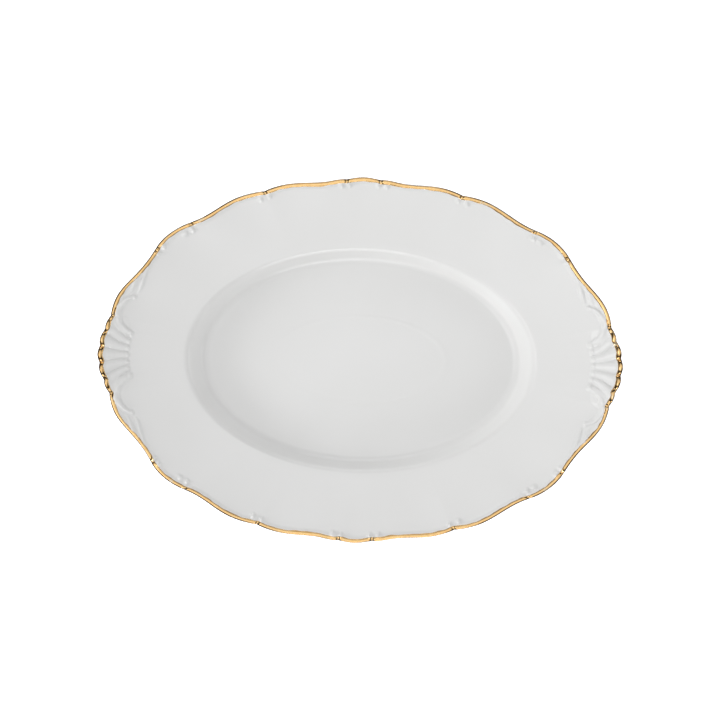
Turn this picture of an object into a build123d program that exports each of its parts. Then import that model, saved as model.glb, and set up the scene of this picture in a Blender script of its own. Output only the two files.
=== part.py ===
from build123d import *
import os
from math import cos, hypot, radians, sin

# An oval porcelain serving platter: a flat floor and a steep well inside a broad sloping rim, whose
# scalloped edge is gilt and carries a moulded shell between C-scrolls at each end.
# Millimetres. +X runs along the platter's length, +Y across it and +Z up from the table. The origin is
# on the table, under the middle of the platter.

# Plan sizes. The guide oval is the oval that the outermost crests of the scalloped edge touch.
guide_length = 340.0
guide_width = 239.4
well_length = 225.6  # at the shoulder
well_width = 144.0
end_wall_run = 9.8  # how far the floor's edge lies inside the shoulder at the ends
side_wall_run = 6.3  # and at the sides

# Heights and thicknesses.
overall_height = 30.0
foot_height = 3.5
floor_thickness = 4.5
well_depth = 12.0
wall_thickness = 5.8  # of the well's wall, measured level
rim_thickness = 4.2  # at the shoulder, measured upright
lip_thickness = 3.2  # at the edge, measured upright

# Rounded corners of the well and of the wall behind it.
floor_corner_radius = 7.0
shoulder_radius = 6.0
under_shoulder_radius = 10.0

# Foot rings. Each is set in by its own distance, so that it stays under the floor.
outer_foot_inset = 5.0  # from the floor's edge to the ring's middle line
outer_foot_root = 6.5  # thickness where the ring meets the floor
outer_foot_tread = 3.5
inner_foot_length = 116.0
inner_foot_width = 60.0
inner_foot_root = 4.5
inner_foot_tread = 2.6
inner_foot_clearance = 0.4  # the inner ring stays this far off the table

# Gilding.
gilt_width = 2.6
gilt_thickness = 0.4

# The scalloped edge over a quarter of the platter, as runs that meet in cusps. Each station is the
# angle round the guide oval, from the +X end, and how far inside the oval the edge lies there.
edge_runs = [
    [(0.0, 0.0), (2.9, 1.0)],
    [(2.9, 1.0), (5.0, 0.8), (8.2, 2.9)],
    [(8.2, 2.9), (9.8, 2.7), (12.5, 4.0)],
    [(12.5, 4.0), (18.5, 2.7), (30.0, 6.1), (36.5, 3.5)],
    [(36.5, 3.5), (42.5, 1.5), (47.5, 3.4)],
    [(47.5, 3.4), (51.3, 4.9), (62.0, 1.6), (67.3, 3.5)],
    [(67.3, 3.5), (72.0, 2.0), (81.0, 4.7), (84.8, 3.3), (86.2, 3.4)],
    [(86.2, 3.4), (90.0, 1.6)],
]

# Moulded shell and scrolls. Stations are given as for the edge.
relief_sink = 0.35  # how far under the rim's face the middle lines of ribs, beads and scrolls lie
shell_focus_inset = 37.5  # where the shell's ribs would all meet, inside the end of the guide oval
side_lobe_angles = [5.0, 9.8]
rib_start = 21.0  # how far from the focus a rib begins
rib_edge_gap = 2.6  # how far short of the gilding it ends
rib_root_half_width = 1.3
rib_edge_half_width = 3.4
rib_half_height = 1.5
bead_reach = 18.5  # how far from the focus the shell's beads stand
bead_radius = 1.9
scroll_stations = [(19.9, 13.8), (18.5, 9.8), (16.2, 8.6), (13.6, 8.4), (10.0, 11.4), (7.6, 19.0)]
scroll_radius = 1.1

# Values that follow from the sizes above.
floor_top = foot_height + floor_thickness
shoulder_height = floor_top + well_depth
under_shoulder_height = shoulder_height - rim_thickness
under_lip_height = overall_height - lip_thickness
edge_overrun = 0.08  # the rim is lofted this share past the guide oval, then trimmed to the edge
cut_clearance = 3.0  # cutters and trimming solids stand this far above the platter
level_slack = 0.01  # how near a height an edge must lie to be picked


def wall_oval(height, outward=0.0):
    """Half sizes of the well's wall at a height, moved outward by a level distance."""
    fall = (shoulder_height - height) / well_depth
    half_x = well_length / 2 - fall * end_wall_run + outward
    half_y = well_width / 2 - fall * side_wall_run + outward
    return half_x, half_y


def rim_oval(start, share):
    """Half sizes of the oval that lies a share of the way from a start oval to the guide oval."""
    half_x = start[0] + share * (guide_length / 2 - start[0])
    half_y = start[1] + share * (guide_width / 2 - start[1])
    return half_x, half_y


def edge_point(angle, inset):
    """Plan position of a station: its angle round the guide oval and its distance inside it."""
    reach = 1 - inset / (guide_length / 2)
    turn = radians(angle)
    return reach * guide_length / 2 * cos(turn), reach * guide_width / 2 * sin(turn)


def relief_point(x, y):
    """The point relief_sink under the rim's face at a plan position, found by halving the way outward."""
    low = 0.0
    high = 1 + edge_overrun
    for _ in range(30):
        share = (low + high) / 2
        half_x, half_y = rim_oval(wall_oval(shoulder_height), share)
        if hypot(x / half_x, y / half_y) < 1:
            high = share
        else:
            low = share
    face_height = shoulder_height + share * (overall_height - shoulder_height)
    return Vector(x, y, face_height - relief_sink)


def edge_sketch(extra_inset=0.0):
    """The area inside the scalloped edge, with every station drawn in by extra_inset."""
    with BuildSketch() as area:
        with BuildLine():
            for run in edge_runs:
                Spline(*[edge_point(angle, inset + extra_inset) for angle, inset in run])
            Polyline(
                edge_point(90, edge_runs[-1][-1][1] + extra_inset),
                (0, 0),
                edge_point(0, edge_runs[0][0][1] + extra_inset),
            )
        make_face()
        mirror(about=Plane.YZ)
        mirror(about=Plane.XZ)
    return area.sketch


def oval_loft(sections, mode=Mode.ADD):
    """Straight-sided loft through level ovals, each given as its height and half sizes."""
    faces = []
    for height, (half_x, half_y) in sections:
        with BuildSketch(Plane.XY.offset(height)) as section:
            Ellipse(half_x, half_y)
        faces.append(section.sketch)
    loft(faces, ruled=True, mode=mode)


def trim_to_edge(inner_inset=None):
    """Keep what lies inside the scalloped edge, and outside a second one drawn in by inner_inset."""
    with BuildSketch() as area:
        add(edge_sketch())
        if inner_inset:
            add(edge_sketch(inner_inset), mode=Mode.SUBTRACT)
    extrude(area.sketch, amount=overall_height + cut_clearance, mode=Mode.INTERSECT)


def fillet_at(part, height, radius):
    """Round the level edges of a part at one height."""
    fillet(part.edges().filter_by_position(Axis.Z, height - level_slack, height + level_slack), radius)


def foot_ring(middle_oval, tread_height, root, tread):
    """Oval ring under the floor, wider at its root than at its tread."""
    with BuildPart() as ring:
        for side, mode in ((1, Mode.ADD), (-1, Mode.SUBTRACT)):
            tread_oval = [half + side * tread / 2 for half in middle_oval]
            root_oval = [half + side * root / 2 for half in middle_oval]
            oval_loft([(tread_height, tread_oval), (foot_height, root_oval)], mode)
    return ring.part


def shell_rib(angle, inset):
    """A rib of the shell and the bead at its root, on the line from the focus to a lobe of the edge."""
    focus = Vector(*edge_point(0, shell_focus_inset))
    tip = Vector(*edge_point(angle, inset + gilt_width + rib_edge_gap))
    heading = (tip - focus).normalized()
    start = focus + heading * rib_start
    bead = focus + heading * bead_reach
    root = relief_point(start.X, start.Y)
    end = relief_point(tip.X, tip.Y)
    across = Vector(0, 0, 1).cross(end - root)
    faces = []
    for point, half_width in ((root, rib_root_half_width), (end, rib_edge_half_width)):
        with BuildSketch(Plane(point, x_dir=across, z_dir=end - root)) as section:
            Ellipse(half_width, rib_half_height)
        faces.append(section.sketch)
    loft(faces)
    with Locations(relief_point(bead.X, bead.Y)):
        Sphere(bead_radius)


def scroll():
    """A half-sunk round ridge along the C-scroll, with a ball at each end."""
    points = [relief_point(*edge_point(angle, inset)) for angle, inset in scroll_stations]
    with BuildLine() as path:
        Spline(*points)
    with BuildSketch(Plane(path.line @ 0, z_dir=path.line % 0)) as section:
        Circle(scroll_radius)
    sweep(section.sketch, path.line)
    with Locations(points[0], points[-1]):
        Sphere(scroll_radius)


# The hollow above the platter and the outside below it, as level ovals from the floor up.
shoulder_oval = wall_oval(shoulder_height)
under_shoulder_oval = wall_oval(under_shoulder_height, wall_thickness)
rim_end = rim_oval(shoulder_oval, 1 + edge_overrun)
under_rim_end = rim_oval(under_shoulder_oval, 1 + edge_overrun)
hollow_sections = [
    (floor_top, wall_oval(floor_top)),
    (shoulder_height, shoulder_oval),
    (overall_height + edge_overrun * (overall_height - shoulder_height), rim_end),
    (overall_height + cut_clearance, rim_end),
]
outside_sections = [
    (foot_height, wall_oval(foot_height, wall_thickness)),
    (under_shoulder_height, under_shoulder_oval),
    (under_lip_height + edge_overrun * (under_lip_height - under_shoulder_height), under_rim_end),
    (overall_height + cut_clearance, under_rim_end),
]

# The gilding is the skin under the rim's face, between the edge and its drawn-in copy.
with BuildPart() as gilt_rim_band:
    oval_loft([(height - gilt_thickness, oval) for height, oval in hollow_sections])
    oval_loft(hollow_sections, Mode.SUBTRACT)
    trim_to_edge(gilt_width)

# Moulded relief of one end's +Y side, mirrored to the other side and the other end.
with BuildPart() as relief:
    lobe_insets = [run[1][1] for run in edge_runs[1:3]]
    for lobe_angle, lobe_inset in zip(side_lobe_angles, lobe_insets):
        shell_rib(lobe_angle, lobe_inset)
    scroll()
    mirror(about=Plane.XZ)
    shell_rib(0, edge_runs[0][0][1])
    mirror(about=Plane.YZ)

with BuildPart() as porcelain_body:
    oval_loft(outside_sections)
    fillet_at(porcelain_body, under_shoulder_height, under_shoulder_radius)
    oval_loft(hollow_sections, Mode.SUBTRACT)
    fillet_at(porcelain_body, floor_top, floor_corner_radius)
    fillet_at(porcelain_body, shoulder_height, shoulder_radius)
    add(relief.part)
    trim_to_edge()
    add(gilt_rim_band.part, mode=Mode.SUBTRACT)

outer_foot_oval = [half - outer_foot_inset for half in wall_oval(floor_top)]
outer_foot_ring = foot_ring(outer_foot_oval, 0, outer_foot_root, outer_foot_tread)

inner_foot_oval = (inner_foot_length / 2, inner_foot_width / 2)
inner_foot_ring = foot_ring(inner_foot_oval, inner_foot_clearance, inner_foot_root, inner_foot_tread)

# One STEP file for each piece, named as the piece.
os.makedirs("parts", exist_ok=True)
pieces = {
    "porcelain_body": porcelain_body.part,
    "gilt_rim_band": gilt_rim_band.part,
    "outer_foot_ring": outer_foot_ring,
    "inner_foot_ring": inner_foot_ring,
}
for name, piece in pieces.items():
    piece.label = name
    export_step(piece, f"parts/{name}.step")
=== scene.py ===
"""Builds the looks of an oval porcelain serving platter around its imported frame.

The platter is one fired dish with a gold line on its lip. Each class below makes one of its pieces:
the glazed body with its moulded shells, scrolls, sprays and cusp beads, the gilt band, and the two foot
rings. Sizes are in millimetres, as a mould maker would write them, and become metres in the meshes.
"""

import logging
import math
from dataclasses import dataclass
from enum import Enum

import bpy
import numpy as np
from mathutils import Matrix, Vector


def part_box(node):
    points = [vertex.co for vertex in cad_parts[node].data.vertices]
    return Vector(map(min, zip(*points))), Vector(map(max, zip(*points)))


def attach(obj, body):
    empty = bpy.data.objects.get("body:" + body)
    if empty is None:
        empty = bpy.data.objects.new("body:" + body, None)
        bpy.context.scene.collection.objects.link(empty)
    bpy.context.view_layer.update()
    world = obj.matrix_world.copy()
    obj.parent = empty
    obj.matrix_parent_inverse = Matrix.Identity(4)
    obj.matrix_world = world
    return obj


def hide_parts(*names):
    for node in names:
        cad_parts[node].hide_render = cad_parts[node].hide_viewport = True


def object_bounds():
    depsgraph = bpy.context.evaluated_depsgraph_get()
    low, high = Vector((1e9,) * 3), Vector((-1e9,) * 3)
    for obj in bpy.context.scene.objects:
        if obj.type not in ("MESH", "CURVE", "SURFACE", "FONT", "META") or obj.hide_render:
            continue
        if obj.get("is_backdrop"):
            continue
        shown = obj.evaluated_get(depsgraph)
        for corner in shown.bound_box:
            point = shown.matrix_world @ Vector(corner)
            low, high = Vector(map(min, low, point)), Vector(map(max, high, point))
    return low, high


log = logging.getLogger("platter")
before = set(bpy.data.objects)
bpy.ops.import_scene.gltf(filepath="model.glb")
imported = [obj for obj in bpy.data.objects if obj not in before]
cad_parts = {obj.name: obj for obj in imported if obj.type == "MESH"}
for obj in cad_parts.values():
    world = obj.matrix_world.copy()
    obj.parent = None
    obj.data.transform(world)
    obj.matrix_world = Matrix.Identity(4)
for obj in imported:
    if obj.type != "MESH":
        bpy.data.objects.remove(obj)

MM = 0.001
Pairs = list[tuple[float, float]]


# ---------------------------------------------------------------- curves and grids


def smooth_run(
    at: np.ndarray, stations: Pairs, level_start: bool = False, level_end: bool = False
) -> np.ndarray:
    """Smooth values through stations, by cubic pieces with matched slopes.

    Args:
        at: Where to read the curve.
        stations: Position and value of each station, in order.
        level_start: Whether the curve starts level.
        level_end: Whether the curve ends level.

    Returns:
        The curve's value at each position.
    """
    xs = np.array([s[0] for s in stations])
    ys = np.array([s[1] for s in stations])
    steps = np.diff(ys) / np.diff(xs)
    slopes = np.concatenate([[steps[0]], (steps[:-1] + steps[1:]) / 2, [steps[-1]]])
    if len(stations) > 2:
        slopes[0] = 2 * steps[0] - slopes[1]
        slopes[-1] = 2 * steps[-1] - slopes[-2]
    slopes[0] = 0.0 if level_start else slopes[0]
    slopes[-1] = 0.0 if level_end else slopes[-1]
    piece = np.clip(np.searchsorted(xs, at, side="right") - 1, 0, len(xs) - 2)
    width = xs[piece + 1] - xs[piece]
    u = np.clip((at - xs[piece]) / width, 0, 1)
    start = ys[piece] * (2 * u**3 - 3 * u**2 + 1) + slopes[piece] * width * (u**3 - 2 * u**2 + u)
    return start + ys[piece + 1] * (3 * u**2 - 2 * u**3) + slopes[piece + 1] * width * (u**3 - u**2)


def bell(distance: np.ndarray, reach: float) -> np.ndarray:
    """A smooth bump of height 1 that ends level at the reach."""
    u = np.clip(np.abs(distance) / reach, 0, 1)
    return (1 - u**2) ** 2


def slow_wave(turns: np.ndarray, seed: int, waves: tuple[int, ...]) -> np.ndarray:
    """Gentle unevenness round the platter, between about -1 and 1.

    Args:
        turns: Angle round the platter, in radians.
        seed: Picks the phases, so that each edge wavers in its own way.
        waves: How many waves of each kind go round.

    Returns:
        The unevenness at each angle.
    """
    phases = np.random.default_rng(seed).uniform(0, math.tau, len(waves))
    total = sum(np.sin(count * turns + phase) for count, phase in zip(waves, phases))
    return total / math.sqrt(len(waves))


class RowMesh:
    """A skin made of rows of points that go round the platter, joined row to row."""

    def __init__(self) -> None:
        """Starts an empty skin."""
        self.points: list[np.ndarray] = []
        self.rows: list[tuple[int, int]] = []
        self.faces: list[list[int]] = []
        self.slots: list[int] = []
        self.count = 0

    def add_row(self, points: np.ndarray, slot: int = 0) -> None:
        """Adds a ring of points and joins it to the ring before it.

        A ring may have fewer points than the one before by a whole factor, or be a single point.

        Args:
            points: The ring's points in millimetres, anticlockwise from +X.
            slot: Material slot of the faces that join it on.
        """
        start = self.count
        self.points.append(points)
        self.count += len(points)
        if self.rows:
            self.join(self.rows[-1], (start, len(points)), slot)
        self.rows.append((start, len(points)))

    def join(self, first: tuple[int, int], second: tuple[int, int], slot: int) -> None:
        """Makes the faces between two rings.

        Args:
            first: Start and length of the earlier ring.
            second: Start and length of the later ring.
            slot: Material slot of the faces.
        """
        (a, n), (b, m) = first, second
        if n == 1:
            self.faces += [[a, b + (i + 1) % m, b + i] for i in range(m)]
        elif m == 1:
            self.faces += [[a + i, a + (i + 1) % n, b] for i in range(n)]
        elif n < m:
            factor = m // n
            for i in range(n):
                run = [b + (i * factor + j) % m for j in range(factor, -1, -1)]
                self.faces.append([a + i, a + (i + 1) % n, *run])
        else:
            factor = n // m
            for i in range(m):
                run = [a + (i * factor + j) % n for j in range(factor + 1)]
                self.faces.append([*run, b + (i + 1) % m, b + i])
        self.slots += [slot] * (len(self.faces) - len(self.slots))

    def close(self, slot: int = 0) -> None:
        """Joins the last ring to the first, for a tube-like skin."""
        self.join(self.rows[-1], self.rows[0], slot)

    def build(self, name: str, materials: list[bpy.types.Material]) -> bpy.types.Object:
        """Makes the smooth-shaded mesh object.

        Args:
            name: The piece's name.
            materials: The materials of its slots, in order.

        Returns:
            The new object, in metres.
        """
        mesh = bpy.data.meshes.new(name)
        mesh.from_pydata((np.concatenate(self.points) * MM).tolist(), [], self.faces)
        for material in materials:
            mesh.materials.append(material)
        mesh.polygons.foreach_set("use_smooth", [True] * len(mesh.polygons))
        mesh.polygons.foreach_set("material_index", self.slots)
        mesh.validate()
        mesh.update()
        piece = bpy.data.objects.new(name, mesh)
        bpy.context.scene.collection.objects.link(piece)
        return piece


# ---------------------------------------------------------------- the platter's shape


@dataclass(frozen=True)
class ScallopedEdge:
    """The edge's outline: how far it lies inside the guide oval, run by run over a quarter turn.

    The runs meet in cusps. A station is an angle round the guide oval in degrees and an inset.
    """

    half_length: float
    half_width: float
    runs: tuple[tuple[tuple[float, float], ...], ...] = (
        ((0.0, 0.0), (2.9, 1.0)),
        ((2.9, 1.0), (5.0, 0.8), (8.2, 2.9)),
        ((8.2, 2.9), (9.8, 2.7), (12.5, 4.0)),
        ((12.5, 4.0), (18.5, 2.7), (30.0, 6.1), (36.5, 3.5)),
        ((36.5, 3.5), (42.5, 1.5), (47.5, 3.4)),
        ((47.5, 3.4), (51.3, 4.9), (62.0, 1.6), (67.3, 3.5)),
        ((67.3, 3.5), (72.0, 2.0), (81.0, 4.7), (84.8, 3.3), (86.2, 3.4)),
        ((86.2, 3.4), (90.0, 1.6)),
    )
    search_steps: int = 400  # over a run, when the columns are laid out

    def quarter_angles(
        self, fine: float, coarse: float, ornament_end: float, cusp_reach: float
    ) -> np.ndarray:
        """Angles of the grid's columns over a quarter, close together where the relief is.

        Args:
            fine: Spacing at the shell and the cusps, in degrees.
            coarse: Spacing elsewhere.
            ornament_end: Where the end ornament stops.
            cusp_reach: How far on each side of a cusp the fine spacing goes.

        Returns:
            Angles in degrees, from 0 up to but without 90, with every cusp among them.
        """
        cusps = np.array([run[-1][0] for run in self.runs])
        angles: list[float] = []
        for run in self.runs:
            fill = np.linspace(run[0][0], run[-1][0], self.search_steps)
            near = np.min(np.abs(fill[:, None] - cusps[None, :]), axis=1)
            spacing = np.where((fill < ornament_end) | (near < cusp_reach), fine, coarse)
            passed = np.concatenate([[0], np.cumsum(np.diff(fill) / (spacing[1:] + spacing[:-1]) * 2)])
            columns = max(2, round(passed[-1]))
            angles += np.interp(np.linspace(0, passed[-1], columns + 1)[:-1], passed, fill).tolist()
        return np.array(angles)

    def inset(self, angle: np.ndarray) -> np.ndarray:
        """How far inside the guide oval the edge lies, anywhere round the platter.

        Args:
            angle: Angles round the guide oval, in degrees.

        Returns:
            The inset at each angle, in millimetres.
        """
        folded = np.abs((angle + 90) % 180 - 90)
        depth = np.zeros_like(folded)
        for number, run in enumerate(self.runs):
            inside = (folded >= run[0][0]) & (folded <= run[-1][0])
            ends = (number == 0, number == len(self.runs) - 1)
            depth[inside] = smooth_run(folded[inside], list(run), *ends)
        return depth

    def plan(self, angle: np.ndarray, extra: np.ndarray | float = 0.0) -> np.ndarray:
        """Plan positions on the edge, or further in by an extra inset.

        Args:
            angle: Angles round the guide oval, in degrees.
            extra: Inset added to the edge's own.

        Returns:
            An array of x and y.
        """
        reach = 1 - (self.inset(angle) + extra) / self.half_length
        turn = np.radians(angle)
        x = reach * self.half_length * np.cos(turn)
        y = reach * self.half_width * np.sin(turn)
        return np.stack([x, y], 1)


@dataclass(frozen=True)
class Ridge:
    """A moulded ridge along a smooth path in the first quarter, given by plan points in millimetres."""

    path: tuple[tuple[float, float], ...]
    widths: tuple[float, ...]
    heights: tuple[float, ...]
    roundness: float = 0.75  # 0.5 is a half round, more gives a gentler foot
    samples: int = 48

    def relief(self, x: np.ndarray, y: np.ndarray) -> np.ndarray:
        """Height of the ridge over plan positions.

        Args:
            x: Positions along the platter.
            y: Positions across it.

        Returns:
            The ridge's height at each position.
        """
        knots = np.linspace(0, 1, len(self.path))
        u = np.linspace(0, 1, self.samples)
        px = smooth_run(u, list(zip(knots, [p[0] for p in self.path])))
        py = smooth_run(u, list(zip(knots, [p[1] for p in self.path])))
        spread = np.linspace(0, 1, len(self.widths))
        half = np.interp(u, spread, self.widths)
        tall = np.interp(u, np.linspace(0, 1, len(self.heights)), self.heights)
        reach = max(self.widths)
        found = np.zeros_like(x)
        near = (x > px.min() - reach) & (x < px.max() + reach)
        near = near & (y > py.min() - reach) & (y < py.max() + reach)
        if near.any():
            away = np.hypot(x[near][:, None] - px, y[near][:, None] - py) / half
            rounded = tall * np.clip(1 - away**2, 0, 1) ** self.roundness
            found[near] = rounded.max(axis=1)
        return found


@dataclass(frozen=True)
class MouldedOrnament:
    """Relief that the mould leaves on the rim: shells, C-scrolls, sprays, and beads beside the cusps."""

    ribs: tuple[Ridge, ...] = (
        Ridge(((151.8, 0.0), (159.0, 0.0), (168.6, 0.0)), (1.9, 3.0, 5.0), (0.8, 1.05, 2.6)),
        Ridge(((151.7, 4.6), (158.8, 6.2), (167.6, 10.2)), (1.9, 2.9, 4.8), (0.8, 1.05, 2.5)),
        Ridge(((151.0, 8.9), (157.4, 12.4), (165.2, 19.6)), (1.8, 2.8, 4.5), (0.8, 1.05, 2.2)),
        Ridge(
            ((149.8, 13.6), (155.6, 16.8), (159.4, 20.8), (162.6, 26.4)),
            (1.6, 2.1, 2.9, 2.6),
            (0.8, 1.0, 0.5),
        ),
    )
    beads: tuple[tuple[float, float, float, float], ...] = (
        (151.6, 0.0, 1.9, 1.2),
        (151.4, 4.6, 1.9, 1.2),
        (150.7, 8.9, 1.9, 1.2),
        (149.3, 13.6, 2.2, 1.3),
        (147.2, 37.6, 1.7, 1.0),
        (132.0, 66.4, 1.8, 1.15),
        (128.6, 70.6, 1.8, 1.15),
        (114.6, 79.0, 1.9, 1.25),
        (110.2, 81.6, 1.9, 1.25),
        (66.6, 102.6, 1.9, 1.25),
        (61.2, 104.6, 1.9, 1.25),
        (14.6, 112.6, 2.0, 1.25),
        (9.6, 113.2, 1.9, 1.25),
    )
    scrolls: tuple[Ridge, ...] = (
        Ridge(
            (
                (149.4, 14.6),
                (153.4, 17.2),
                (156.6, 21.0),
                (157.2, 27.4),
                (155.0, 32.0),
                (151.6, 35.6),
                (146.8, 37.6),
            ),
            (1.4, 2.1, 2.3, 1.9, 1.1),
            (1.0, 1.3, 1.25, 0.9),
        ),
        Ridge(
            ((144.6, 40.6), (142.8, 45.0), (141.0, 50.4), (138.4, 56.4)),
            (0.7, 1.5, 1.3, 0.6),
            (0.3, 0.9, 0.4),
        ),
        Ridge(((149.6, 40.2), (147.0, 46.0), (143.0, 53.0)), (0.7, 1.5, 0.6), (0.25, 0.75, 0.25)),
    )
    swells: tuple[Ridge, ...] = (
        Ridge(
            ((161.0, 27.0), (158.0, 36.0), (150.0, 46.0), (140.0, 59.0)),
            (5.5, 6.5, 6.0, 4.0),
            (0.4, 0.35, 0.15),
        ),
        Ridge(((161.5, 0.0), (160.6, 9.0), (157.6, 19.0)), (9.0, 9.0, 8.0), (0.7, 0.7, 0.5)),
    )
    crease_angles: tuple[float, ...] = (12.5, 36.5, 47.5, 67.3, 86.2)
    crease_length: float = 8.0
    crease_width: float = 1.6
    crease_depth: float = 0.95
    crease_overrun: float = 3.0  # how far past the edge a crease still cuts the lip
    bead_spread: float = 1.25  # a bead's foot, as a share of its radius
    crispness: int = 6  # how sharply touching ridges and beads stay apart

    def relief(self, edge: ScallopedEdge, x: np.ndarray, y: np.ndarray) -> np.ndarray:
        """Height of all the relief over plan positions, alike in each quarter.

        Args:
            edge: The outline, which says where the cusps are.
            x: Positions along the platter.
            y: Positions across it.

        Returns:
            Height above the plain rim, in millimetres.
        """
        x, y = np.abs(x), np.abs(y)
        raised = sum(swell.relief(x, y) ** 2 for swell in self.swells) ** 0.5
        parts = [ridge.relief(x, y) for ridge in (*self.ribs, *self.scrolls)]
        parts.append(self.ribs[1].relief(x, -y))
        for bead_x, bead_y, radius, height in self.beads:
            parts.append(height * bell(np.hypot(x - bead_x, y - bead_y), radius * self.bead_spread))
        crisp = sum(np.maximum(part, 0) ** self.crispness for part in parts) ** (1 / self.crispness)
        return raised + crisp - self.creases(edge, x, y)

    def creases(self, edge: ScallopedEdge, x: np.ndarray, y: np.ndarray) -> np.ndarray:
        """Depth of the creases that run in from the cusps.

        Args:
            edge: The outline.
            x: Positions along the platter, folded to one quarter.
            y: Positions across it, folded to one quarter.

        Returns:
            Depth below the plain rim.
        """
        depth = np.zeros_like(x)
        for angle in self.crease_angles:
            outer = edge.plan(np.array([angle]))[0]
            inner = edge.plan(np.array([angle]), self.crease_length)[0]
            along = (inner - outer) / np.linalg.norm(inner - outer)
            ahead = (x - outer[0]) * along[0] + (y - outer[1]) * along[1]
            beside = (x - outer[0]) * along[1] - (y - outer[1]) * along[0]
            fade = np.clip(1 - ahead / self.crease_length, 0, 1) * (ahead > -self.crease_overrun)
            depth = np.maximum(depth, self.crease_depth * fade * bell(beside, self.crease_width))
        return depth


@dataclass(frozen=True)
class DishSection:
    """The dish's cross-section, from the floor's middle over the lip to the underside."""

    half_length: float
    floor_half: tuple[float, float]
    well_half: tuple[float, float]
    print_half: tuple[float, float]
    foot_height: float
    lip_height: float
    floor_thickness: float = 4.5
    well_depth: float = 12.0
    wall_thickness: float = 5.8
    rim_thickness: float = 4.2
    corner_radius: float = 8.5
    shoulder_radius: float = 8.0
    under_radius: float = 10.0
    rim_hollow: float = 0.06  # how much the rim sags below a straight slope, as a share of its rise
    roll_height: float = 0.7  # of the rounded roll that the gold is painted on
    roll_reach: float = 3.4
    roll_place: float = 1.7
    lip_radius: float = 1.5
    print_height: float = 0.08  # of the inner foot ring's print in the floor

    @property
    def floor_top(self) -> float:
        """Height of the floor's upper face."""
        return self.foot_height + self.floor_thickness

    @property
    def shoulder_height(self) -> float:
        """Height of the shoulder between the well and the rim."""
        return self.floor_top + self.well_depth

    @property
    def lip_underside(self) -> float:
        """Height of the lip's underside, where it has turned all the way."""
        return self.lip_height - 2 * self.lip_radius

    def rounded_well(self, steps: int) -> list[tuple[float, float]]:
        """The well's wall with its rounded corner and shoulder, from the floor outward.

        Args:
            steps: How many rows each rounded corner has.

        Returns:
            Level distance out from the floor's edge, and height, of each row.
        """
        run = self.well_half[0] - self.floor_half[0]
        pitch = math.atan2(self.well_depth, run)
        rim_pitch = math.atan2(self.lip_height - self.shoulder_height, self.half_length - self.well_half[0])
        rows = self.fillet((0.0, self.floor_top), 0.0, pitch, self.corner_radius, steps)
        rows += self.fillet((run, self.shoulder_height), pitch, rim_pitch, self.shoulder_radius, steps)
        return rows

    @staticmethod
    def fillet(
        corner: tuple[float, float], before: float, after: float, radius: float, steps: int
    ) -> Pairs:
        """Rows of an arc that rounds a corner of the section.

        Args:
            corner: The sharp corner's distance out and height.
            before: Slope before the corner, in radians.
            after: Slope after it.
            radius: The arc's radius.
            steps: How many rows to make.

        Returns:
            Distance out and height of each row.
        """
        turn = after - before
        tangent = radius * math.tan(abs(turn) / 2)
        out, up = corner[0] - tangent * math.cos(before), corner[1] - tangent * math.sin(before)
        side = 1 if turn > 0 else -1
        middle = (out - side * radius * math.sin(before), up + side * radius * math.cos(before))
        rows = []
        for step in range(steps + 1):
            slope = before + turn * step / steps
            out = middle[0] + side * radius * math.sin(slope)
            up = middle[1] - side * radius * math.cos(slope)
            rows.append((out, up))
        return rows


@dataclass(frozen=True)
class FootSize:
    """A foot ring's width at its root and at its tread, and how high the tread stands."""

    root: float
    tread: float
    lift: float = 0.0


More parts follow.
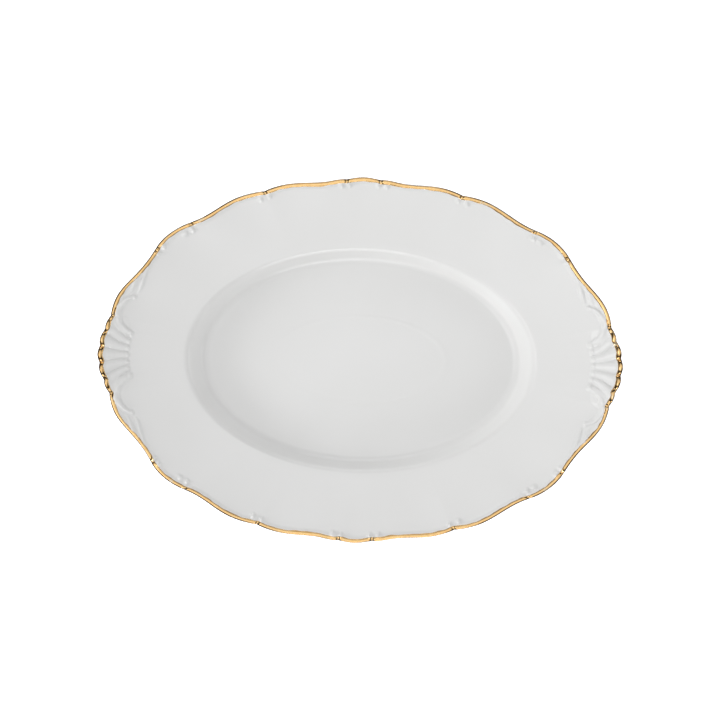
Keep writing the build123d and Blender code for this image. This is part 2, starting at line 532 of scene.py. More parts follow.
@dataclass
class PlatterShape:
    """Everything that the pieces share: the edge, the section, the ornament and the column angles."""

    standing_foot: FootSize = FootSize(6.5, 3.5)
    kiln_foot: FootSize = FootSize(4.5, 2.6, 0.4)
    floor_margin: float = 5.0  # from the standing foot's middle to the floor's edge
    well_margin: tuple[float, float] = (14.8, 11.3)  # from there to the shoulder, at the ends and sides
    print_shift: float = 1.6  # how far inside the kiln foot's middle its print shows
    gilt_thickness: float = 0.4  # of the gold's solid, whose top is the frame's top
    fine_step: float = 0.24  # degrees between columns where the relief is
    coarse_step: float = 0.62  # degrees between columns elsewhere
    ornament_end: float = 24.0  # degrees from the shell's middle
    cusp_reach: float = 2.4  # degrees on each side of a cusp

    def __post_init__(self) -> None:
        """Takes the platter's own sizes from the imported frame."""
        low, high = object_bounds()
        body_low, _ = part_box("porcelain_body")
        foot_low, foot_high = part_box("outer_foot_ring")
        _, print_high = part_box("inner_foot_ring")
        half_length = high.x / MM
        side_inset = ScallopedEdge.runs[-1][-1][1]
        half_width = high.y / MM / (1 - side_inset / half_length)
        self.edge = ScallopedEdge(half_length, half_width)
        self.foot_oval = tuple(reach / MM - self.standing_foot.root / 2 for reach in foot_high[:2])
        self.print_oval = tuple(reach / MM - self.kiln_foot.root / 2 for reach in print_high[:2])
        self.section = DishSection(
            half_length=half_length,
            floor_half=tuple(half + self.floor_margin for half in self.foot_oval),
            well_half=tuple(half + margin for half, margin in zip(self.foot_oval, self.well_margin)),
            print_half=tuple(half - self.print_shift for half in self.print_oval),
            foot_height=body_low.z / MM,
            lip_height=high.z / MM - self.gilt_thickness,
        )
        self.ornament = MouldedOrnament()
        quarter = self.edge.quarter_angles(
            self.fine_step, self.coarse_step, self.ornament_end, self.cusp_reach
        )
        mirrored = np.concatenate([[90.0], 180 - quarter[:0:-1]])
        half = np.concatenate([quarter, mirrored])
        self.angles = np.concatenate([half, half + 180])
        self.turns = np.radians(self.angles)
        log.info("columns round the platter: %d", len(self.angles))

    def shoulder_plan(self) -> np.ndarray:
        """Plan positions of the shoulder's sharp corner at every column."""
        half_x, half_y = self.section.well_half
        return np.stack([half_x * np.cos(self.turns), half_y * np.sin(self.turns)], 1)

    def rim_row(self, inset: np.ndarray | float) -> np.ndarray:
        """Points of the rim's upper face a level distance in from the edge, before the lip turns down.

        Args:
            inset: Distance in from the edge towards the shoulder, one for all columns or one for each.

        Returns:
            An array of x, y and z.
        """
        section = self.section
        outer = self.edge.plan(self.angles)
        inner = self.shoulder_plan()
        gap = np.linalg.norm(outer - inner, axis=1)
        inset = np.broadcast_to(inset, gap.shape)
        share = 1 - inset / gap
        plan = inner + (outer - inner) * share[:, None]
        rise = section.lip_height - section.shoulder_height
        height = section.shoulder_height + rise * (share - section.rim_hollow * 4 * share * (1 - share))
        height = height + section.roll_height * bell(inset - section.roll_place, section.roll_reach)
        height = height + self.ornament.relief(self.edge, plan[:, 0], plan[:, 1])
        return np.column_stack([plan, height])

    def lip_row(self, turn_down: np.ndarray | float) -> np.ndarray:
        """Points of the lip where it has turned down by an angle, from 0 on top to 180 underneath.

        Args:
            turn_down: Angle in degrees, one for all columns or one for each.

        Returns:
            An array of x, y and z.
        """
        bend = np.radians(turn_down)
        row = self.rim_row(self.section.lip_radius * (1 - np.sin(bend)))
        row[:, 2] -= self.section.lip_radius * (1 - np.cos(bend))
        return row


@dataclass
class PorcelainBody:
    """The fired dish: floor, well, shoulder, moulded rim, lip and glazed underside."""

    shape: PlatterShape
    relief_depth: float = 27.0  # how far in from the edge the closely spaced rows go
    relief_step: float = 0.56
    shoulder_clear: float = 0.9  # where the rim's rows start past the shoulder, in its radii
    plain_rows: int = 7
    lip_rows: int = 10
    corner_rows: int = 10
    coarse_factor: int = 4
    under_round_rows: int = 7
    under_shares: tuple[float, ...] = (0.05, 0.12, 0.3, 0.5, 0.7, 0.88)  # rows under the rim
    shoulder_out: float = 0.55  # how far out the outside's shoulder lies, as a share of the wall
    base_out: float = 0.45  # how far out its base lies
    base_rounding: tuple[tuple[float, float], ...] = ((1.2, 1.3), (0.6, 0.45), (0.0, 0.0))
    base_shares: tuple[float, ...] = (0.8, 0.5, 0.2)  # rows under the floor
    floor_shares: tuple[float, ...] = (0.12, 0.3, 0.5, 0.68, 0.8, 0.88)  # rows inside the print
    print_band: float = 0.07  # the closely spaced rows, as a share each side of the print
    print_rows: int = 15
    print_width: float = 0.055
    print_end: float = 1.15

    def oval_row(self, half: tuple[float, float], height: float, coarse: bool = False) -> np.ndarray:
        """A level oval row of points.

        Args:
            half: The oval's half sizes.
            height: Its height.
            coarse: Whether to keep only every few columns.

        Returns:
            An array of x, y and z.
        """
        turns = self.shape.turns[:: self.coarse_factor] if coarse else self.shape.turns
        x, y = half[0] * np.cos(turns), half[1] * np.sin(turns)
        return np.column_stack([x, y, np.full_like(x, height)])

    def floor_rows(self, skin: RowMesh) -> None:
        """Adds the floor, from its middle out, with the inner foot ring's faint print.

        Args:
            skin: The body's skin.
        """
        section = self.shape.section
        skin.add_row(np.array([[0.0, 0.0, section.floor_top]]))
        near = np.linspace(1 - self.print_band, 1 + self.print_band, self.print_rows).tolist()
        for share in (*self.floor_shares, *near, self.print_end):
            half = (section.print_half[0] * share, section.print_half[1] * share)
            ring_print = section.print_height * float(bell(np.array(share - 1.0), self.print_width))
            skin.add_row(self.oval_row(half, section.floor_top + ring_print, coarse=True))
        start = (section.print_half[0] * self.print_end, section.print_half[1] * self.print_end)
        tangent = -section.rounded_well(self.corner_rows)[0][0]
        for share in (0.2, 0.45, 0.7, 0.9):
            ends = tuple(
                (half - tangent) * share + first * (1 - share)
                for half, first in zip(section.floor_half, start)
            )
            skin.add_row(self.oval_row(ends, section.floor_top, coarse=True))

    def well_rows(self, skin: RowMesh) -> None:
        """Adds the rounded corner of the floor, the wall and the shoulder.

        Args:
            skin: The body's skin.
        """
        section = self.shape.section
        run = section.well_half[0] - section.floor_half[0]
        side_share = (section.well_half[1] - section.floor_half[1]) / run
        for out, height in section.rounded_well(self.corner_rows):
            half = (section.floor_half[0] + out, section.floor_half[1] + out * side_share)
            skin.add_row(self.oval_row(half, height))

    def rim_rows(self, skin: RowMesh) -> None:
        """Adds the rim's upper face, plain near the shoulder and closely spaced under the relief.

        Args:
            skin: The body's skin.
        """
        shape = self.shape
        outer = shape.edge.plan(shape.angles)
        gap = np.linalg.norm(outer - shape.shoulder_plan(), axis=1)
        start = gap - shape.section.shoulder_radius * self.shoulder_clear
        for row in range(self.plain_rows):
            skin.add_row(shape.rim_row(start + (self.relief_depth - start) * row / self.plain_rows))
        lip_start = shape.section.lip_radius
        steps = round((self.relief_depth - lip_start) / self.relief_step)
        for inset in np.linspace(self.relief_depth, lip_start, steps + 1)[:-1]:
            skin.add_row(shape.rim_row(inset))

    def under_rows(self, skin: RowMesh) -> None:
        """Adds the lip and the underside, back to the middle of the floor.

        Args:
            skin: The body's skin.
        """
        shape, section = self.shape, self.shape.section
        for row in range(self.lip_rows + 1):
            skin.add_row(shape.lip_row(180 * row / self.lip_rows))
        plain_lip = skin.points[-1].copy()
        plain_lip[:, 2] = section.lip_underside
        under_height = section.shoulder_height - section.rim_thickness
        pitch = math.atan2(section.well_depth, section.well_half[0] - section.floor_half[0])
        under_pitch = math.atan2(
            section.lip_underside - under_height, section.half_length - section.well_half[0]
        )
        arc = section.fillet(
            (0.0, 0.0), pitch, under_pitch, section.under_radius, self.under_round_rows
        )[::-1]
        corner = [half + section.wall_thickness * self.shoulder_out for half in section.well_half]
        first = self.oval_row((corner[0] + arc[0][0], corner[1] + arc[0][0]), under_height + arc[0][1])
        for share in self.under_shares:
            skin.add_row(plain_lip + (first - plain_lip) * share)
        for out, up in arc:
            skin.add_row(self.oval_row((corner[0] + out, corner[1] + out), under_height + up))
        base = [half + section.wall_thickness * self.base_out for half in section.floor_half]
        for out, up in self.base_rounding:
            skin.add_row(self.oval_row((base[0] + out, base[1] + out), section.foot_height + up))
        for share in self.base_shares:
            half = (base[0] * share, base[1] * share)
            skin.add_row(self.oval_row(half, section.foot_height, coarse=True))
        skin.add_row(np.array([[0.0, 0.0, section.foot_height]]))

    def build(self, glaze: bpy.types.Material) -> bpy.types.Object:
        """Makes the body and puts it in its CAD node's place.

        Args:
            glaze: The glazed porcelain.

        Returns:
            The body.
        """
        skin = RowMesh()
        self.floor_rows(skin)
        self.well_rows(skin)
        self.rim_rows(skin)
        self.under_rows(skin)
        piece = skin.build("porcelain_dish", [glaze])
        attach(piece, "root")
        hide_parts("porcelain_body")
        return piece


@dataclass
class GiltBand:
    """The gold line round the lip, painted by hand, so that its edges waver a little."""

    shape: PlatterShape
    width: float = 2.8
    width_waver: float = 0.2
    shell_width: float = 0.7  # how much wider it is painted over the shells
    shell_reach: float = 17.0  # how far round from the shell's middle, in degrees
    outer_turn: float = 58.0  # how far over the lip the gold goes, in degrees
    outer_waver: float = 13.0
    thickness: float = 0.05
    bed: float = 0.12  # how deep its underside lies in the porcelain, out of sight
    rows: int = 7
    flat_share: float = 0.45  # share of its rows that lie before the lip turns down
    inner_waves: tuple[int, ...] = (23, 41, 67, 97, 131)
    outer_waves: tuple[int, ...] = (5, 11, 19, 37)
    probe: tuple[float, float] = (0.2, 4.0)  # a small step outward, level and in degrees of turn

    def skin_row(self, share: float, lift: float) -> np.ndarray:
        """A row of the gold, from its inner edge at 0 to its outer edge at 1.

        Args:
            share: How far across the gold.
            lift: How far above the porcelain.

        Returns:
            An array of x, y and z.
        """
        shape = self.shape
        turns = shape.turns
        from_shell = np.abs((shape.angles + 90) % 180 - 90)
        inner = self.width + self.shell_width * bell(from_shell, self.shell_reach)
        inner = inner + self.width_waver * slow_wave(turns, 5, self.inner_waves)
        outer = self.outer_turn + self.outer_waver * slow_wave(turns, 9, self.outer_waves)
        if share < self.flat_share:
            inset = inner + (shape.section.lip_radius - inner) * share / self.flat_share
            row = shape.rim_row(inset)
            side = shape.rim_row(inset - self.probe[0])
        else:
            turn_down = outer * (share - self.flat_share) / (1 - self.flat_share)
            row = shape.lip_row(turn_down)
            side = shape.lip_row(turn_down + self.probe[1])
        forward = np.roll(row, -1, axis=0) - np.roll(row, 1, axis=0)
        normal = np.cross(side - row, forward)
        normal /= np.linalg.norm(normal, axis=1)[:, None]
        return row + normal * lift

    def build(self, gold: bpy.types.Material) -> bpy.types.Object:
        """Makes the gold line and puts it in its CAD node's place.

        Args:
            gold: The fired gold.

        Returns:
            The band.
        """
        skin = RowMesh()
        shares = np.linspace(0, 1, self.rows + 1)
        for share in shares:
            edge_fade = min(1.0, 6 * min(share, 1 - share) + 0.25)
            skin.add_row(self.skin_row(float(share), self.thickness * edge_fade))
        for share in (1.0, 0.5, 0.0):
            skin.add_row(self.skin_row(share, -self.bed))
        skin.close()
        piece = skin.build("gold_line", [gold])
        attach(piece, "root")
        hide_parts("gilt_rim_band")
        return piece


@dataclass
class FootRing:
    """An oval foot ring under the floor, glazed on its sides, with a bare ground tread."""

    name: str
    node: str
    middle: tuple[float, float]
    size: FootSize
    root_height: float
    flare: float = 1.6
    edge: float = 0.45  # rounding of the tread's edges
    columns: int = 240
    glazed_rows: int = 5  # rows down each side that the glaze covers

    def section_rows(self) -> Pairs:
        """The ring's section as offset from its middle line and height.

        Returns:
            Rows from the outer root, down over the tread, to the inner root.
        """
        half_root, half_tread = self.size.root / 2, self.size.tread / 2
        root_height, tread_height = self.root_height, self.size.lift
        drop = root_height - tread_height
        outer = [
            (half_root + self.flare, root_height + 0.1),
            (half_root + self.flare * 0.45, root_height - drop * 0.08),
            (half_root, root_height - drop * 0.26),
            ((half_root + half_tread) / 2, root_height - drop * 0.62),
            (half_tread + 0.1, tread_height + self.edge),
            (half_tread - 0.12, tread_height + self.edge * 0.3),
            (half_tread - self.edge, tread_height),
        ]
        inner = [(-offset, height) for offset, height in reversed(outer)]
        return [*outer, (0.0, tread_height), *inner]

    def build(self, glaze: bpy.types.Material, bisque: bpy.types.Material) -> bpy.types.Object:
        """Makes the ring and puts it in its CAD node's place.

        Args:
            glaze: The glaze on its sides.
            bisque: The bare tread.

        Returns:
            The ring.
        """
        turns = np.linspace(0, math.tau, self.columns, endpoint=False)
        rows = self.section_rows()
        bare = range(self.glazed_rows, len(rows) + 1 - self.glazed_rows)
        skin = RowMesh()
        for number, (offset, height) in enumerate(rows):
            x = (self.middle[0] + offset) * np.cos(turns)
            y = (self.middle[1] + offset) * np.sin(turns)
            skin.add_row(np.column_stack([x, y, np.full_like(x, height)]), int(number in bare))
        skin.close()
        piece = skin.build(self.name, [glaze, bisque])
        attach(piece, "root")
        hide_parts(self.node)
        return piece


# ---------------------------------------------------------------- finishes


class Effect(Enum):
    """The shader node groups that more than one finish uses."""

    UNEVEN = "kiln_unevenness"
    WEAR = "handling_wear"


class EffectLibrary:
    """Makes each shader node group once and hands it to the finishes."""

    swell_scale: float = 16.0
    ripple_scale: float = 160.0
    patch_scale: float = 95.0
    speck_scale: float = 900.0
    speck_share: float = 0.3  # how much the specks break up the patches
    wear_reach: float = 0.35  # how much of the surface a full Amount adds
    wear_ramp: tuple[float, float] = (0.88, 1.0)

    def __init__(self) -> None:
        """Builds both groups."""
        self.groups = {Effect.UNEVEN: self.make_uneven(), Effect.WEAR: self.make_wear()}

    @staticmethod
    def sockets(name: str, inputs: dict[str, float], outputs: list[str]) -> bpy.types.NodeTree:
        """Starts a node group with value inputs and outputs.

        Args:
            name: The group's name.
            inputs: Each input's name and default.
            outputs: Each output's name.

        Returns:
            The group, with its input and output nodes.
        """
        group = bpy.data.node_groups.new(name, "ShaderNodeTree")
        for key, value in inputs.items():
            socket = group.interface.new_socket(name=key, in_out="INPUT", socket_type="NodeSocketFloat")
            socket.default_value = value
        for key in outputs:
            group.interface.new_socket(name=key, in_out="OUTPUT", socket_type="NodeSocketFloat")
        group.nodes.new("NodeGroupInput").name = "in"
        group.nodes.new("NodeGroupOutput").name = "out"
        return group

    @staticmethod
    def noise(tree: bpy.types.NodeTree, scale: float, detail: float) -> bpy.types.Node:
        """Adds noise in the piece's own coordinates.

        Args:
            tree: Where to add it.
            scale: Waves to the metre, about.
            detail: Octaves.

        Returns:
            The noise node.
        """
        place = tree.nodes.new("ShaderNodeTexCoord")
        texture = tree.nodes.new("ShaderNodeTexNoise")
        texture.inputs["Scale"].default_value = scale
        texture.inputs["Detail"].default_value = detail
        tree.links.new(place.outputs["Object"], texture.inputs["Vector"])
        return texture

    @staticmethod
    def spread(
        tree: bpy.types.NodeTree, source: bpy.types.NodeSocket, low: float, high: float
    ) -> bpy.types.Node:
        """Adds a soft ramp from 0 at low to 1 at high.

        Args:
            tree: Where to add it.
            source: What it reads.
            low: Value that becomes 0.
            high: Value that becomes 1.

        Returns:
            The range node.
        """
        ramp = tree.nodes.new("ShaderNodeMapRange")
        ramp.interpolation_type = "SMOOTHSTEP"
        ramp.inputs["From Min"].default_value = low
        ramp.inputs["From Max"].default_value = high
        tree.links.new(source, ramp.inputs["Value"])
        return ramp

    def make_uneven(self) -> bpy.types.NodeTree:
        """Slow swells and fine ripple of a fired surface, as a mask and a height.

        Returns:
            The group.
        """
        group = self.sockets(Effect.UNEVEN.value, {"Ripple": 0.25}, ["Tone", "Height"])
        slow = self.noise(group, self.swell_scale, 2.0)
        fine = self.noise(group, self.ripple_scale, 2.0)
        tone = self.spread(group, slow.outputs["Fac"], 0.3, 0.7)
        mix = group.nodes.new("ShaderNodeMath")
        mix.operation = "MULTIPLY_ADD"
        group.links.new(fine.outputs["Fac"], mix.inputs[0])
        group.links.new(group.nodes["in"].outputs["Ripple"], mix.inputs[1])
        group.links.new(slow.outputs["Fac"], mix.inputs[2])
        group.links.new(tone.outputs["Result"], group.nodes["out"].inputs["Tone"])
        group.links.new(mix.outputs["Value"], group.nodes["out"].inputs["Height"])
        return group

    def make_wear(self) -> bpy.types.NodeTree:
        """Small rubbed or dusty patches, as a mask that the Amount input opens up.

        Returns:
            The group.
        """
        group = self.sockets(Effect.WEAR.value, {"Amount": 0.5}, ["Mask"])
        patches = self.noise(group, self.patch_scale, 3.0)
        grain = self.noise(group, self.speck_scale, 2.0)
        blend = group.nodes.new("ShaderNodeMath")
        blend.operation = "MULTIPLY_ADD"
        blend.inputs[1].default_value = self.speck_share
        group.links.new(grain.outputs["Fac"], blend.inputs[0])
        group.links.new(patches.outputs["Fac"], blend.inputs[2])
        opened = group.nodes.new("ShaderNodeMath")
        opened.operation = "MULTIPLY_ADD"
        opened.inputs[1].default_value = self.wear_reach
        group.links.new(group.nodes["in"].outputs["Amount"], opened.inputs[0])
        group.links.new(blend.outputs["Value"], opened.inputs[2])
        mask = self.spread(group, opened.outputs["Value"], *self.wear_ramp)
        group.links.new(mask.outputs["Result"], group.nodes["out"].inputs["Mask"])
        return group

    def place(self, tree: bpy.types.NodeTree, effect: Effect, **values: float) -> bpy.types.Node:
        """Puts a group in a material.

        Args:
            tree: The material's nodes.
            effect: Which group.
            values: The group's inputs by name.

        Returns:
            The group node.
        """
        node = tree.nodes.new("ShaderNodeGroup")
        node.node_tree = self.groups[effect]
        for key, value in values.items():
            node.inputs[key].default_value = value
        return node


def new_material(name: str, color: tuple[float, float, float]) -> tuple[bpy.types.Material, bpy.types.Node]:
    """Starts a material with a Principled shader.

    Args:
        name: The material's name.
        color: Its plain colour, linear.

    Returns:
        The material and its shader node.
    """
    material = bpy.data.materials.new(name)
    material.use_nodes = True
    shader = material.node_tree.nodes["Principled BSDF"]
    shader.inputs["Base Color"].default_value = (*color, 1.0)
    material.diffuse_color = (*color, 1.0)
    return material, shader


def mix_color(
    tree: bpy.types.NodeTree, mask: bpy.types.NodeSocket, low: tuple[float, ...], high: tuple[float, ...]
) -> bpy.types.NodeSocket:
    """Adds a blend of two colours and returns its output.

    Args:
        tree: The material's nodes.
        mask: 0 for low, 1 for high.
        low: One colour.
        high: The other.

    Returns:
        The blend's colour socket.
    """
    node = tree.nodes.new("ShaderNodeMix")
    node.data_type = "RGBA"
    node.inputs["A"].default_value = (*low, 1.0)
    node.inputs["B"].default_value = (*high, 1.0)
    tree.links.new(mask, node.inputs["Factor"])
    return node.outputs["Result"]


def mix_value(
    tree: bpy.types.NodeTree, mask: bpy.types.NodeSocket, low: float, high: float
) -> bpy.types.NodeSocket:
    """Adds a blend of two values and returns its output.

    Args:
        tree: The material's nodes.
        mask: 0 for low, 1 for high.
        low: One value.
        high: The other.

    Returns:
        The blend's value socket.
    """
    node = tree.nodes.new("ShaderNodeMix")
    node.inputs["A"].default_value = low
    node.inputs["B"].default_value = high
    tree.links.new(mask, node.inputs["Factor"])
    return node.outputs["Result"]


def add_bump(
    tree: bpy.types.NodeTree,
    shader: bpy.types.Node,
    height: bpy.types.NodeSocket,
    depth: float,
    strength: float,
) -> None:
    """Feeds a height to the shader's normal.

    Args:
        tree: The material's nodes.
        shader: The Principled shader.
        height: The height mask.
        depth: Depth of a full step, in metres.
        strength: Share of the effect.
    """
    bump = tree.nodes.new("ShaderNodeBump")
    bump.inputs["Distance"].default_value = depth
    bump.inputs["Strength"].default_value = strength
    tree.links.new(height, bump.inputs["Height"])
    tree.links.new(bump.outputs["Normal"], shader.inputs["Normal"])


@dataclass(frozen=True)
class GlazedPorcelain:
    """Hard white porcelain under a clear, very glossy glaze."""

    light: tuple[float, float, float] = (0.806, 0.806, 0.800)
    deep: tuple[float, float, float] = (0.790, 0.790, 0.782)
    roughness: tuple[float, float] = (0.07, 0.12)
    ior: float = 1.52
    ripple: float = 0.10
    swell_depth: float = 0.00035
    swell_share: float = 0.5

    def material(self, effects: EffectLibrary) -> bpy.types.Material:
        """Makes the material.

        Args:
            effects: The shared node groups.

        Returns:
            The glaze.
        """
        material, shader = new_material("clear_glaze_on_porcelain", self.light)
        tree = material.node_tree
        uneven = effects.place(tree, Effect.UNEVEN, Ripple=self.ripple)
        tone = uneven.outputs["Tone"]
        tree.links.new(mix_color(tree, tone, self.light, self.deep), shader.inputs["Base Color"])
        tree.links.new(mix_value(tree, tone, *self.roughness), shader.inputs["Roughness"])
        shader.inputs["IOR"].default_value = self.ior
        add_bump(tree, shader, uneven.outputs["Height"], self.swell_depth, self.swell_share)
        return material


@dataclass(frozen=True)
class FiredGold:
    """Bright gold, brushed on and fired, a little thin and rubbed in small patches."""

    rich: tuple[float, float, float] = (0.80, 0.47, 0.17)
    pale: tuple[float, float, float] = (0.96, 0.68, 0.34)
    worn: tuple[float, float, float] = (0.80, 0.66, 0.46)
    edge_tint: tuple[float, float, float] = (0.78, 0.47, 0.20)  # at grazing angles
    roughness: tuple[float, float] = (0.07, 0.16)
    wear_amount: float = 0.35
    worn_metallic: float = 0.55
    brush_scale: float = 420.0
    ripple: float = 0.6
    swell_depth: float = 0.0002
    swell_share: float = 0.6

    def material(self, effects: EffectLibrary) -> bpy.types.Material:
        """Makes the material.

        Args:
            effects: The shared node groups.

        Returns:
            The gold.
        """
        material, shader = new_material("fired_bright_gold", self.rich)
        tree = material.node_tree
        uneven = effects.place(tree, Effect.UNEVEN, Ripple=self.ripple)
        wear = effects.place(tree, Effect.WEAR, Amount=self.wear_amount)
        brushed = EffectLibrary.noise(tree, self.brush_scale, 3.0)
        fresh = mix_color(tree, brushed.outputs["Fac"], self.rich, self.pale)
        rubbed = tree.nodes.new("ShaderNodeMix")
        rubbed.data_type = "RGBA"
        rubbed.inputs["B"].default_value = (*self.worn, 1.0)
        tree.links.new(wear.outputs["Mask"], rubbed.inputs["Factor"])
        tree.links.new(fresh, rubbed.inputs["A"])
        tree.links.new(rubbed.outputs["Result"], shader.inputs["Base Color"])
        metallic = mix_value(tree, wear.outputs["Mask"], 1.0, self.worn_metallic)
        tree.links.new(metallic, shader.inputs["Metallic"])
        tree.links.new(mix_value(tree, brushed.outputs["Fac"], *self.roughness), shader.inputs["Roughness"])
        shader.inputs["Specular Tint"].default_value = (*self.edge_tint, 1.0)
        add_bump(tree, shader, uneven.outputs["Height"], self.swell_depth, self.swell_share)
        return material


@dataclass(frozen=True)
class BareTread:
    """The foot's tread: unglazed, ground flat, and greyed where it has slid on tables."""

    clean: tuple[float, float, float] = (0.74, 0.71, 0.65)
    stained: tuple[float, float, float] = (0.60, 0.57, 0.51)
    roughness: tuple[float, float] = (0.75, 0.92)
    stain_amount: float = 0.6
    grain_scale: float = 2600.0
    grain_depth: float = 0.00012
    grain_share: float = 0.7

    def material(self, effects: EffectLibrary) -> bpy.types.Material:
        """Makes the material.

        Args:
            effects: The shared node groups.

        Returns:
            The bare porcelain.
        """
        material, shader = new_material("bare_ground_tread", self.clean)
        tree = material.node_tree
        wear = effects.place(tree, Effect.WEAR, Amount=self.stain_amount)
        grain = EffectLibrary.noise(tree, self.grain_scale, 3.0)
        color = mix_color(tree, wear.outputs["Mask"], self.clean, self.stained)
        tree.links.new(color, shader.inputs["Base Color"])
        tree.links.new(mix_value(tree, grain.outputs["Fac"], *self.roughness), shader.inputs["Roughness"])
        add_bump(tree, shader, grain.outputs["Fac"], self.grain_depth, self.grain_share)
        return material


@dataclass(frozen=True)
class PaleGround:
    """The plain matt ground that the platter lies on, bright to the eye, and painted a dark warm brown
    where reflections see it, which paints dark reflections into the gold and the glaze.
    """

    seen: tuple[float, float, float] = (0.9, 0.9, 0.9)
    # painted reflection: glossy rays see the ground in this dark warm brown instead of its pale colour, so
    # the gold's downward slopes show painted dark reflections
    painted_reflection: tuple[float, float, float] = (0.12, 0.085, 0.055)

    def material(self) -> bpy.types.Material:
        """Makes the material.

        Returns:
            The ground's material.
        """
        material, shader = new_material("pale_ground", self.seen)
        tree = material.node_tree
        rays = tree.nodes.new("ShaderNodeLightPath").outputs
        # painted reflection: the ground turns dark brown for glossy rays only
        color = mix_color(tree, rays["Is Glossy Ray"], self.seen, self.painted_reflection)
        glow = mix_color(tree, rays["Is Camera Ray"], (0.0, 0.0, 0.0), self.seen)
        tree.links.new(color, shader.inputs["Base Color"])
        tree.links.new(glow, shader.inputs["Emission Color"])
        shader.inputs["Emission Strength"].default_value = 1.0
        shader.inputs["Roughness"].default_value = 0.9
        shader.inputs["Specular IOR Level"].default_value = 0.1
        return material


# ---------------------------------------------------------------- the studio


@dataclass(frozen=True)
class SoftBox:
    """A large soft lamp that points at the platter."""

    name: str
    place: tuple[float, float, float]
    size: tuple[float, float]
    power: float
    fade: float = 0.3  # how far in from its rim the light grows to full strength, as a share of its size
    mirrored: bool = True  # whether glossy surfaces show it

    def add(self) -> None:
        """Hangs the lamp."""
        data = bpy.data.lights.new(self.name, "AREA")
        data.shape = "ELLIPSE"
        data.size, data.size_y = self.size
        data.energy = self.power
        self.soften(data)
        lamp = bpy.data.objects.new(self.name, data)
        lamp.location = self.place
        lamp.visible_glossy = self.mirrored
        lamp.rotation_euler = (-Vector(self.place)).to_track_quat("-Z", "Y").to_euler()
        bpy.context.scene.collection.objects.link(lamp)

    def soften(self, data: bpy.types.Light) -> None:
        """Makes the light fade towards the lamp's rim.

        Args:
            data: The lamp's data.
        """
        data.use_nodes = True
        tree = data.node_tree
        place = tree.nodes.new("ShaderNodeNewGeometry")
        centred = tree.nodes.new("ShaderNodeVectorMath")
        centred.operation = "DISTANCE"
        centred.inputs[1].default_value = (0.5, 0.5, 0.0)
        tree.links.new(place.outputs["Parametric"], centred.inputs[0])
        fall = EffectLibrary.spread(tree, centred.outputs["Value"], 0.5, 0.5 - self.fade)
        tree.links.new(fall.outputs["Result"], tree.nodes["Emission"].inputs["Strength"])


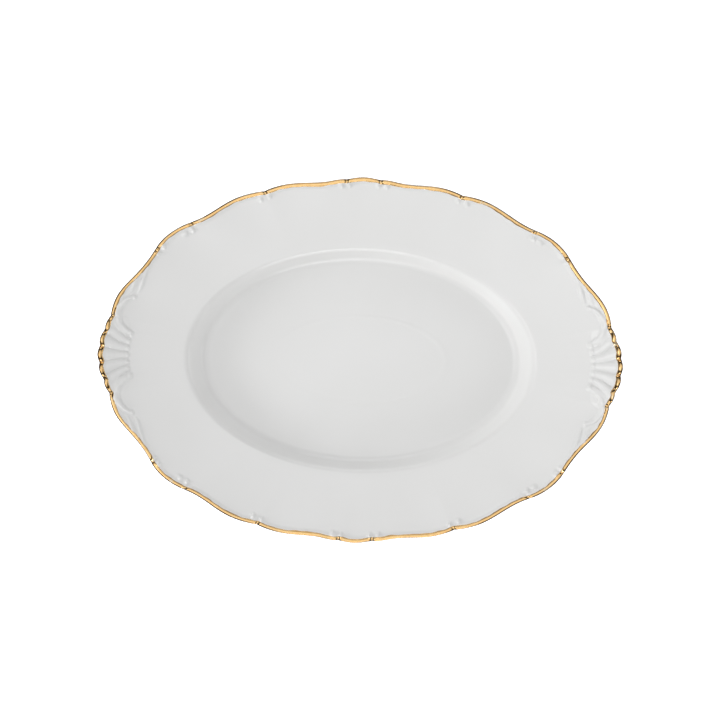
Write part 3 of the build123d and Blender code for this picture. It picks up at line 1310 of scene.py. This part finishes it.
@dataclass(frozen=True)
class Studio:
    """Floor, lamps, surroundings and camera."""

    lamps: tuple[SoftBox, ...] = (
        SoftBox("overhead_strip", (-0.14, 0.0, 2.3), (1.5, 0.5), 0.8, 0.4),
        SoftBox("high_left_panel", (-1.15, -0.5, 2.1), (1.8, 1.5), 9.0, 0.3),
        SoftBox("near_high_panel", (0.1, -1.3, 2.1), (1.6, 1.3), 3.0, 0.4),
        SoftBox("left_window", (-2.35, -0.2, 0.6), (2.2, 1.1), 54.0, mirrored=False),
        SoftBox("near_window", (0.1, -2.35, 0.6), (2.2, 1.1), 28.0),
        SoftBox("right_wall_bounce", (2.35, 0.2, 0.6), (2.2, 1.1), 11.0),
        SoftBox("far_wall_bounce", (-0.1, 2.35, 0.6), (2.2, 1.1), 13.0),
        SoftBox("corner_fill", (1.5, 0.9, 1.75), (2.4, 2.0), 4.0, 0.45),
    )
    surround: tuple[float, float] = (0.22, 0.64)  # light at the horizon, and from horizon_fade upward
    horizon_fade: float = 0.4
    mirrored: tuple[float, float] = (0.04, 0.95)  # what reflections see below and above the mirrored_fade
    mirrored_fade: tuple[float, float] = (0.6, 0.92)
    backdrop: float = 1.0  # brightness behind the platter, as pale as the floor
    floor_size: float = 8.0
    floor_gap: float = 0.0002  # so that the tread and the ground aren't in one plane
    sensor_width: float = 36.0  # millimetres
    camera_distance: float = 1.3
    camera_lean: tuple[float, float] = (1.6, 1.4)  # degrees towards +X and +Y
    camera_turn: float = 1.42  # degrees
    camera_aim: tuple[float, float] = (0.0005, 0.0005)
    view_width: float = 0.4645

    def add_floor(self) -> None:
        """Lays the ground and marks it as no part of the platter."""
        half = self.floor_size / 2
        level = -self.floor_gap
        mesh = bpy.data.meshes.new("ground")
        corners = [(-half, -half, level), (half, -half, level), (half, half, level), (-half, half, level)]
        mesh.from_pydata(corners, [], [(0, 1, 2, 3)])
        mesh.materials.append(PaleGround().material())
        ground = bpy.data.objects.new("ground", mesh)
        bpy.context.scene.collection.objects.link(ground)
        ground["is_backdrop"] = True

    def add_surroundings(self) -> None:
        """Lights the scene from all round, dimmer towards the horizon, with its own brightness for
        reflections and a plain pale backdrop for the camera.
        """
        world = bpy.data.worlds.new("studio_walls")
        world.use_nodes = True
        tree = world.node_tree
        background = tree.nodes["Background"]
        background.inputs["Color"].default_value = (1.0, 1.0, 1.0, 1.0)
        toward = tree.nodes.new("ShaderNodeSeparateXYZ")
        tree.links.new(tree.nodes.new("ShaderNodeTexCoord").outputs["Generated"], toward.inputs["Vector"])
        soft = EffectLibrary.spread(tree, toward.outputs["Z"], 0.0, self.horizon_fade).outputs["Result"]
        crisp = EffectLibrary.spread(tree, toward.outputs["Z"], *self.mirrored_fade).outputs["Result"]
        rays = tree.nodes.new("ShaderNodeLightPath").outputs
        choice = tree.nodes.new("ShaderNodeMix")
        tree.links.new(rays["Is Glossy Ray"], choice.inputs["Factor"])
        tree.links.new(mix_value(tree, soft, *self.surround), choice.inputs["A"])
        tree.links.new(mix_value(tree, crisp, *self.mirrored), choice.inputs["B"])
        backdrop = tree.nodes.new("ShaderNodeMix")
        backdrop.inputs["B"].default_value = self.backdrop
        tree.links.new(rays["Is Camera Ray"], backdrop.inputs["Factor"])
        tree.links.new(choice.outputs["Result"], backdrop.inputs["A"])
        tree.links.new(backdrop.outputs["Result"], background.inputs["Strength"])
        bpy.context.scene.world = world

    def add_camera(self, lip_height: float) -> None:
        """Puts the camera almost straight above the platter.

        Args:
            lip_height: Height of the lip, where the view is view_width wide, in metres.
        """
        data = bpy.data.cameras.new("camera")
        data.sensor_width = self.sensor_width
        data.lens = self.sensor_width * self.camera_distance / self.view_width
        camera = bpy.data.objects.new("camera", data)
        lean_x, lean_y = (math.tan(math.radians(angle)) for angle in self.camera_lean)
        aim = Vector((*self.camera_aim, lip_height))
        away = Vector((lean_x, lean_y, 1.0)).normalized()
        turn = math.radians(self.camera_turn)
        up = Vector((-math.sin(turn), math.cos(turn), 0.0))
        right = up.cross(away).normalized()
        up = away.cross(right).normalized()
        pose = Matrix((right, up, away)).transposed().to_4x4()
        pose.translation = aim + away * self.camera_distance
        camera.matrix_world = pose
        bpy.context.scene.collection.objects.link(camera)
        bpy.context.scene.camera = camera

    def build(self, lip_height: float) -> None:
        """Sets up everything round the platter.

        Args:
            lip_height: Height of the lip, in metres.
        """
        self.add_floor()
        self.add_surroundings()
        for lamp in self.lamps:
            lamp.add()
        self.add_camera(lip_height)
        bpy.context.scene.view_settings.view_transform = "Standard"


# ---------------------------------------------------------------- making it


def main() -> None:
    """Builds the platter piece by piece, and the studio round it."""
    logging.basicConfig(level=logging.INFO, format="%(name)s: %(message)s")
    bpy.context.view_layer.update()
    shape = PlatterShape()
    effects = EffectLibrary()
    glaze = GlazedPorcelain().material(effects)
    gold = FiredGold().material(effects)
    bisque = BareTread().material(effects)
    foot_top = shape.section.foot_height
    standing = FootRing("standing_foot", "outer_foot_ring", shape.foot_oval, shape.standing_foot, foot_top)
    kiln = FootRing("kiln_foot", "inner_foot_ring", shape.print_oval, shape.kiln_foot, foot_top)
    makers = [
        (PorcelainBody(shape), (glaze,)),
        (GiltBand(shape), (gold,)),
        (standing, (glaze, bisque)),
        (kiln, (glaze, bisque)),
    ]
    for maker, finishes in makers:
        piece = maker.build(*finishes)
        log.info("%s: %d faces", piece.name, len(piece.data.polygons))
    _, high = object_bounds()
    Studio().build(high.z)


if __name__ == "__main__":
    main()
